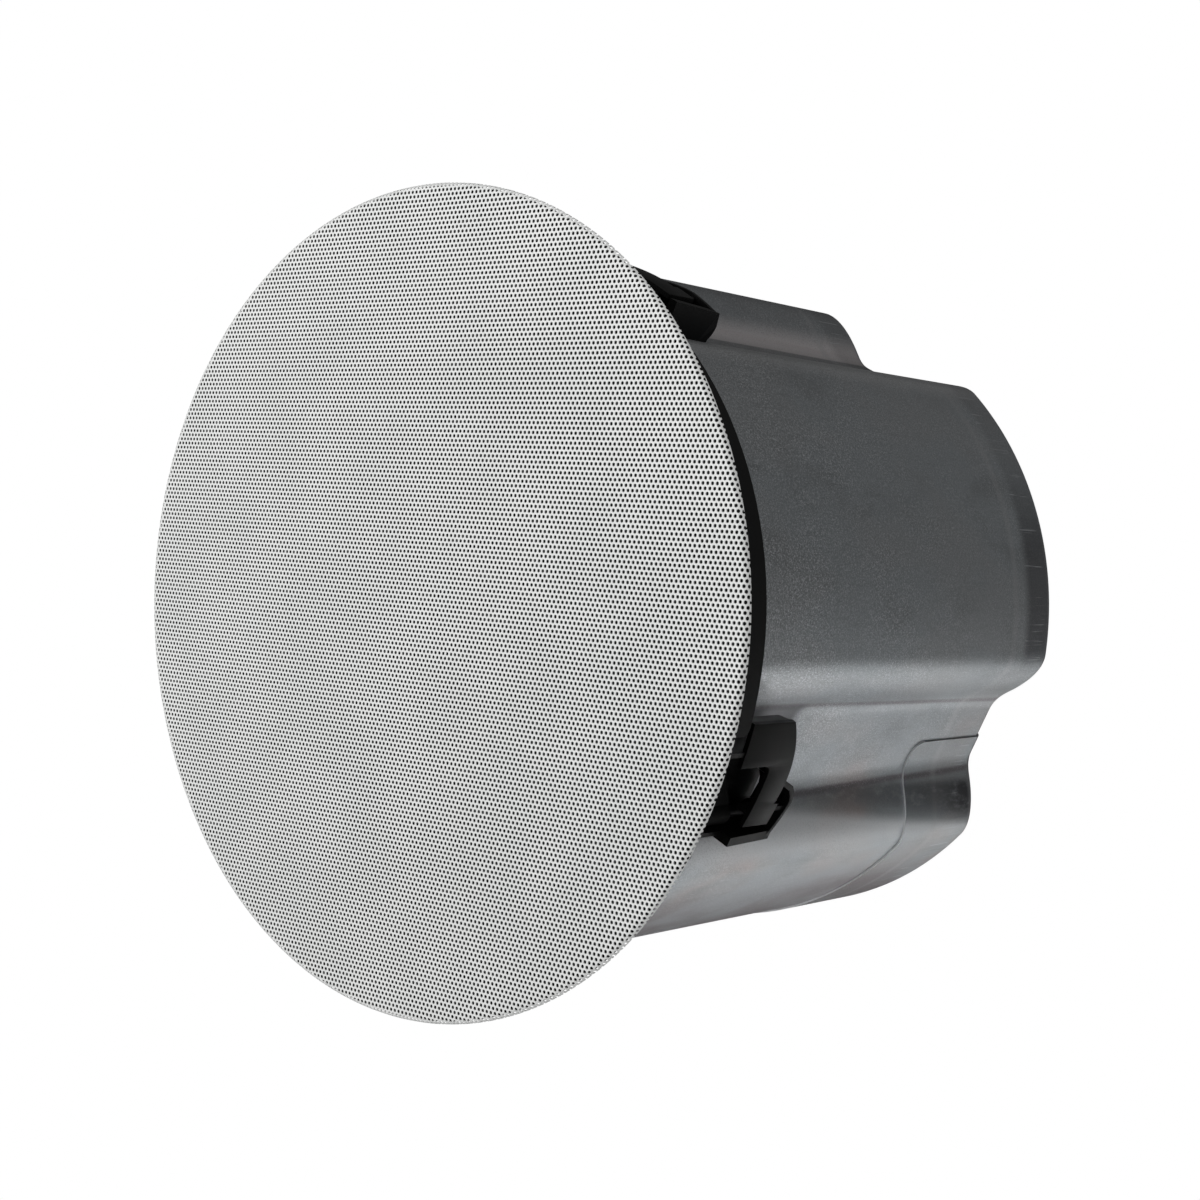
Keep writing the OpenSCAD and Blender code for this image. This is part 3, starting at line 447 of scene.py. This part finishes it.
for k in "1234":
    soften("clamp_bracket_" + k)
    soften("clamp_ear_" + k)
for name in ("baffle", "woofer_cone", "woofer_frame", "woofer_surround", "woofer_spider",
             "tweeter_waveguide", "tweeter_dome", "tweeter_cup", "yoke", "ferrite_magnet",
             "top_plate", "choke_coil", "tap_knob", "input_lead", "woofer_lead", "damping_lining"):
    smooth(nodes[name])


# ---- mesh helpers ----

def piece(name, points, faces, material, curved=False):
    """A new object of the housing."""
    mesh = bpy.data.meshes.new(name)
    mesh.from_pydata(points, [], faces)
    mesh.validate()
    mesh.materials.append(material)
    mesh.polygons.foreach_set("use_smooth", [curved] * len(mesh.polygons))
    made = bpy.data.objects.new(name, mesh)
    bpy.context.scene.collection.objects.link(made)
    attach(made, "housing")
    return made


# ---- drawn wall and wiring cover ----

# All sizes in millimetres and angles in degrees. Radii of the lobes and of the channel floors
CAN_R, FLOOR_R, CHANNEL_W = 136.3, 116.5, 37.8
CAN_FRONT, CAN_BACK, EDGE_R, CAN_SHEET, FLANGE_W = 12.5, 239.0, 6.0, 1.0, 12.0
TAPER = math.tan(math.radians(0.7))
# How much of the taper and of the rear rounding a channel's sides take
SIDE_TAPER, SIDE_ROUND = 0.1, 0.5
# A channel side's slope, and its inner and outer blends: in the ring, and past it
IN_RING, PAST_RING = (32.2, 2.2, 4.5), (36.8, 4.0, 12.5)
# Depths between which the first of them turns into the second
RING_END, PAST_START = 15, 50
WALL_ROWS = (CAN_FRONT, 15, 22, 29, 36, 43, 50, 110, 160)
# Wiring opening in the can: its width, the depth where it starts and the height of its top edge
OPENING_W, OPENING_START, OPENING_TOP = 78.0, 208.0, -83.3
# Wiring cover over the lower lobe, from channel middle to channel middle
LOBE_START, LOBE_END = 225, 315
COVER_START, COVER_INSET, COVER_CORNER, COVER_TOP = 184.0, 1.2, 8.0, 62.0
COVER_GAP, COVER_SHEET = 0.05, 0.75
ENTRY_R, ENTRY_X, ENTRY_Z, KNOCKOUT_GROOVE = 11.1, 24.0, -104.0, 0.6
# Holes in the rear face as x, z and radius: board standoffs, transformer strap, tether and cover
REAR_HOLES = [(x, z, 1.6) for x in (-50, 50) for z in (10, 62)]
REAR_HOLES += [(-36.5, -38, 1.6), (36.5, -38, 1.6), (-4, 62, 1.6), (10, 62, 1.6)]
REAR_HOLES += [(-58, -74, 1.5), (58, -74, 1.5)]


def blended(first, second, width, sign):
    """The higher (sign 1) or lower (sign -1) of two lines, with a rounded change between them."""
    pick = max if sign > 0 else min
    return pick(first, second) + sign * max(width - abs(first - second), 0) ** 2 / (4 * width)


def wall_point(angle, lift, y, rounding=0.0):
    """A point lift millimetres outside the drawn wall, moved in by rounding at the rear edge."""
    share = min(max((y - RING_END) / (PAST_START - RING_END), 0), 1)
    slope, blend_in, blend_out = (
        ring + (past - ring) * share for ring, past in zip(IN_RING, PAST_RING))
    slope = math.radians(slope)
    side_middle = FLOOR_R * math.cos(slope) - CHANNEL_W / 2 * math.sin(slope)
    taper = (min(y, CAN_BACK) - CAN_FRONT) * TAPER
    inward = taper + rounding - lift
    side_inward = SIDE_TAPER * taper + SIDE_ROUND * rounding - lift
    off = math.radians(abs(angle % 90 - 45))
    floor_r = (FLOOR_R - inward) / math.cos(off)
    side_r = (side_middle - side_inward) / math.cos(off + slope)
    r = blended(CAN_R - inward, blended(floor_r, side_r, blend_in, 1), blend_out, -1)
    a = math.radians(angle)
    return (r * math.cos(a) * MM, y * MM, r * math.sin(a) * MM)


def rear_bend(angles, lift, bends):
    """Rows of points from the wall round the rear edge to the rear face."""
    rows = []
    for bend in range(bends + 1):
        turn = math.radians(90 * bend / bends)
        reach = EDGE_R + lift
        rows.append([wall_point(a, lift, CAN_BACK - EDGE_R + reach * math.sin(turn),
                                reach * (1 - math.cos(turn))) for a in angles])
    return rows


class Sheet:
    """Collects the points and faces of one bent piece, loop by loop."""

    def __init__(self):
        self.points = []
        self.faces = []

    def add(self, loop):
        """Keeps a loop of points and gives their numbers."""
        self.points.extend(loop)
        return list(range(len(self.points) - len(loop), len(self.points)))

    def join(self, first, second, closed=False, skip=()):
        """Four-sided faces between two loops, without those whose numbers are in skip."""
        n = len(first)
        for k in range(n if closed else n - 1):
            m = (k + 1) % n
            if k not in skip:
                self.faces.append((first[k], first[m], second[m], second[k]))

    def fill(self, loops):
        """A flat face with holes: the first loop is its edge."""
        flat = [i for loop in loops for i in loop]
        rims = [[Vector(self.points[i]).xzy for i in loop] for loop in loops]
        for triangle in tessellate_polygon(rims):
            self.faces.append(tuple(flat[i] for i in triangle))

    def made(self, name, material, outward=None):
        """The finished piece. A face number given as outward faces away from the can's middle."""
        sheet = piece(name, self.points, self.faces, material, True)
        mesh = bmesh.new()
        mesh.from_mesh(sheet.data)
        bmesh.ops.recalc_face_normals(mesh, faces=mesh.faces)
        mesh.faces.ensure_lookup_table()
        if outward is not None:
            face = mesh.faces[outward]
            if face.normal.dot(face.calc_center_median()) < 0:
                bmesh.ops.reverse_faces(mesh, faces=mesh.faces)
        mesh.to_mesh(sheet.data)
        mesh.free()
        return sheet


def circle_at(x, z, r, y, sides=64):
    """A circle in a plane at depth y."""
    turn = 2 * math.pi / sides
    return [((x + r * math.cos(k * turn)) * MM, y * MM, (z + r * math.sin(k * turn)) * MM)
            for k in range(sides)]


def drawn_can():
    """The can as one drawn sheet, with its turned-in flange, rear holes and wiring opening."""
    n = 720
    angles = [k * 360 / n for k in range(n)]
    half = math.degrees(math.asin(OPENING_W / 2 / CAN_R))
    opening = [k for k, a in enumerate(angles) if abs(a - 270) <= half]
    cut = set(opening[:-1])
    sheet = Sheet()
    last = sheet.add([wall_point(a, -FLANGE_W, CAN_FRONT) for a in angles])
    for y in (*WALL_ROWS, OPENING_START):
        row = sheet.add([wall_point(a, 0, y) for a in angles])
        sheet.join(last, row, True)
        last = row
    for row in rear_bend(angles, 0, 12):
        row = sheet.add(row)
        sheet.join(last, row, True, cut)
        last = row
    edge_x = sheet.points[last[opening[0]]][0]
    corners = sheet.add([(x, CAN_BACK * MM, OPENING_TOP * MM) for x in (edge_x, -edge_x)])
    rim = last[:opening[0] + 1] + corners + last[opening[-1]:]
    holes = [sheet.add(circle_at(x, z, r, CAN_BACK, 24)) for x, z, r in REAR_HOLES]
    sheet.fill([rim] + holes)
    made = sheet.made("can_sheet", finishes["back_can"], outward=n * 2)
    wall = made.modifiers.new("sheet", "SOLIDIFY")
    wall.thickness = CAN_SHEET * MM
    wall.offset = -1
    smooth(made, 40, False)
    return made


def cover_edge(angle):
    """Depth of the cover's front edge, with rounded corners."""
    along = math.radians(min(angle - LOBE_START, LOBE_END - angle) - COVER_INSET) * FLOOR_R
    short = max(COVER_CORNER - along, 0)
    return COVER_START + COVER_CORNER - math.sqrt(max(COVER_CORNER ** 2 - short ** 2, 0))


def wiring_cover():
    """The cover as one closed sheet, with its conduit entry and a part-cut knockout."""
    steps, bends = 540, 10
    first, span = LOBE_START + COVER_INSET, LOBE_END - LOBE_START - 2 * COVER_INSET
    angles = [first + span * k / steps for k in range(steps + 1)]
    sheet = Sheet()
    sides = []
    for lift in (COVER_GAP + COVER_SHEET, COVER_GAP):
        last = front = sheet.add([wall_point(a, lift, cover_edge(a)) for a in angles])
        for row in rear_bend(angles, lift, bends):
            row = sheet.add(row)
            sheet.join(last, row)
            last = row
        y = CAN_BACK + lift
        top = sheet.add([(x * MM, y * MM, -COVER_TOP * MM) for x in (-COVER_TOP, COVER_TOP)])
        entry = sheet.add(circle_at(ENTRY_X, ENTRY_Z, ENTRY_R, y))
        loops = [last + [top[1], top[0]], entry]
        if lift > COVER_SHEET:
            sunk, inside = y - KNOCKOUT_GROOVE, ENTRY_R - KNOCKOUT_GROOVE
            knockout = [sheet.add(circle_at(-ENTRY_X, ENTRY_Z, r, at)) for r, at in (
                (ENTRY_R, y), (ENTRY_R, sunk), (inside, sunk), (inside, y))]
            loops.append(knockout[0])
            for outer, inner in zip(knockout, knockout[1:]):
                sheet.join(outer, inner, True)
            sheet.faces.append(tuple(knockout[-1]))
        sheet.fill(loops)
        sides.append((front, last, top, entry))
    (front_a, last_a, top_a, entry_a), (front_b, last_b, top_b, entry_b) = sides
    cut = len(sheet.faces)
    sheet.join(front_a, front_b)
    cut_end = len(sheet.faces)
    sheet.join(entry_a, entry_b, True)
    sheet.join([last_a[0], *top_a, last_a[-1]], [last_b[0], *top_b, last_b[-1]])
    row = steps + 1
    for end in (0, steps):
        sheet.join([front_a[0] + end + row * k for k in range(bends + 2)],
                   [front_b[0] + end + row * k for k in range(bends + 2)])
    made = sheet.made("cover_sheet", finishes["wiring_cover"])
    made.data.materials.append(cut_edge)
    for face in made.data.polygons[cut:cut_end]:
        face.material_index = 1
    smooth(made, 32, False)
    return made


can = drawn_can()
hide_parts("back_can")
cover = wiring_cover()
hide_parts("wiring_cover")


# ---- perforated grille ----

# The sheet's pitch, the radius of its six-sided holes, its thickness, the bend and the short skirt
PITCH, HOLE, SHEET, BEND, SKIRT_CUT = 2.0 * MM, 0.72 * MM, 0.8 * MM, 2.5 * MM, 1.2 * MM
HOLE_DEPTH = 0.4 * SHEET
ROWS_TURN = math.radians(-20.7)
low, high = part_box("grille")
RIM_R = (high.x - low.x) / 2
FACE_Y = low.y
SKIRT_END = high.y - SKIRT_CUT
FLAT_R = RIM_R - BEND
SKIRT_START = FLAT_R + BEND * math.pi / 2
SHEET_END = SKIRT_START + (SKIRT_END - FACE_Y - BEND)


def on_sheet(s, angle, inward):
    """A point of the drawn sheet, s along the metal from its middle and inward from its face."""
    s = min(s, SHEET_END)
    if s <= FLAT_R:
        r, y = s, FACE_Y + inward
    elif s <= SKIRT_START:
        turn = (s - FLAT_R) / BEND
        reach = BEND - inward
        r, y = FLAT_R + reach * math.sin(turn), FACE_Y + BEND - reach * math.cos(turn)
    else:
        r, y = RIM_R - inward, FACE_Y + BEND + s - SKIRT_START
    return (r * math.cos(angle), y, r * math.sin(angle))


def perforated_sheet(quarter):
    """A quarter of the sheet: six-sided holes in staggered rows, with the metal between them."""
    points, faces, reach = [], [], []
    first = {}
    row = PITCH * math.sqrt(3) / 2
    count = int(SHEET_END / row) + 3
    cells = {}
    for j in range(-count, count + 1):
        for i in range(-count - count // 2, count + count // 2 + 1):
            x, z = (i + j * 0.5) * PITCH, j * row
            s = math.hypot(x, z)
            if s < SHEET_END + PITCH:
                cells[i, j] = (x, z, s)

    def corners(i, j):
        if (i, j) not in first:
            x, z, s = cells[i, j]
            first[i, j] = len(points)
            for inward in (0, HOLE_DEPTH):
                for k in range(6):
                    a = math.radians(30 + 60 * k)
                    px, pz = x + HOLE * math.cos(a), z + HOLE * math.sin(a)
                    angle = math.atan2(pz, px) + ROWS_TURN
                    reach.append(math.hypot(px, pz))
                    points.append(on_sheet(reach[-1], angle, inward))
        return first[i, j]

    for (i, j), (x, z, s) in cells.items():
        if int((math.atan2(z, x) % (2 * math.pi)) / (math.pi / 2)) != quarter:
            continue
        c = corners(i, j)
        for k in range(6):
            n = (k + 1) % 6
            if min(reach[c + k], reach[c + n]) < SHEET_END:
                faces.append((c + k, c + n, c + 6 + n, c + 6 + k))
        right, up, left = (i + 1, j), (i, j + 1), (i - 1, j + 1)
        metal = []
        if right in cells:
            r = corners(*right)
            metal.append((c + 5, r + 3, r + 2, c))
        if up in cells:
            u = corners(*up)
            metal.append((c, u + 4, u + 3, c + 1))
        if left in cells:
            l = corners(*left)
            metal.append((c + 1, l + 5, l + 4, c + 2))
        if right in cells and up in cells:
            metal.append((c, r + 2, u + 4))
        if up in cells and left in cells:
            metal.append((c + 1, u + 3, l + 5))
        faces.extend(f for f in metal if min(reach[k] for k in f) < SHEET_END)
    return piece("grille_sheet_%d" % (quarter + 1), points, faces, coat)


sheets = [perforated_sheet(quarter) for quarter in range(4)]
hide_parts("grille")


# ---- studio ----

def studio_light(name, place, aim, size, power, spread=180):
    lamp = bpy.data.lights.new(name, "AREA")
    lamp.shape = "RECTANGLE"
    lamp.size, lamp.size_y = size
    lamp.energy = power
    lamp.spread = math.radians(spread)
    made = bpy.data.objects.new(name, lamp)
    made.location = place
    made.rotation_euler = (Vector(aim) - Vector(place)).to_track_quat("-Z", "Y").to_euler()
    bpy.context.scene.collection.objects.link(made)


FLOOR_Z, FLOOR_RADIUS, FLOOR_MIDDLE = -0.5, 1.3, 0.1
floor_finish = Finish("pale_floor", Roughness=0.9)
floor_cloud = floor_finish.noise(300, 2)
floor_finish.colour(floor_finish.mix(floor_cloud, (0.82, 0.82, 0.82), (0.86, 0.86, 0.86)))
floor_sides = 96
floor_mesh = bpy.data.meshes.new("floor")
turns = [2 * math.pi * k / floor_sides for k in range(floor_sides)]
floor_mesh.from_pydata(
    [(FLOOR_RADIUS * math.cos(turn), FLOOR_MIDDLE + FLOOR_RADIUS * math.sin(turn), FLOOR_Z)
     for turn in turns], [], [tuple(range(floor_sides))])
floor_mesh.materials.append(floor_finish.material)
floor = bpy.data.objects.new("floor", floor_mesh)
bpy.context.scene.collection.objects.link(floor)

world = bpy.data.worlds.new("studio")
bpy.context.scene.world = world
world.use_nodes = True
sky = Nodes(world.node_tree)
way = sky.add("SeparateXYZ", inputs={"Vector": sky.add("TexCoord").outputs["Generated"]})
way_x, way_y, way_z = (sky.value(way.outputs[i]) for i in range(3))
room_side = (-1 * way_y).rise(-0.1, 0.6)
left = (-1 * way_x).rise(-0.1, 0.45)
right_card = way_x.rise(-0.3, 0.35)
below = (-1 * way_z).rise(0.15, 0.6)
glow = 0.065 + 0.5 * room_side + 0.095 * right_card + below * (0.37 + 0.12 * left)
seen = sky.value(sky.add("LightPath").outputs["Is Camera Ray"])
strength = seen + (1 - seen) * glow
back = sky.add("Background", inputs={"Color": (1.0, 1.0, 1.0), "Strength": strength})
sky.tree.links.new(back.outputs[0], sky.add("OutputWorld").inputs["Surface"])

studio_light("front_softbox", (-0.5, -1.6, 0.9), (0, 0, 0), (1.2, 1.2), 17)
studio_light("floor_wash", (-0.05, 0.8, 0.7), (-0.05, 0.8, -0.5), (0.5, 0.5), 1.2, 50)


# ---- camera ----

camera_data = bpy.data.cameras.new("camera")
camera_data.sensor_width = 36
camera_data.lens = 63.02
camera_data.clip_start = 0.01
camera = bpy.data.objects.new("camera", camera_data)
bpy.context.scene.collection.objects.link(camera)
forward = Vector((-0.6216, 0.7589, 0.1940)).normalized()
right = Vector((0.7269, 0.6511, -0.2181)).normalized()
up = right.cross(forward)
camera.matrix_world = Matrix.Translation((0.53655, -0.55174, -0.16566)) @ Matrix(
    (right, up, -forward)).transposed().to_4x4()
bpy.context.scene.camera = camera
bpy.context.scene.view_settings.view_transform = "Standard"
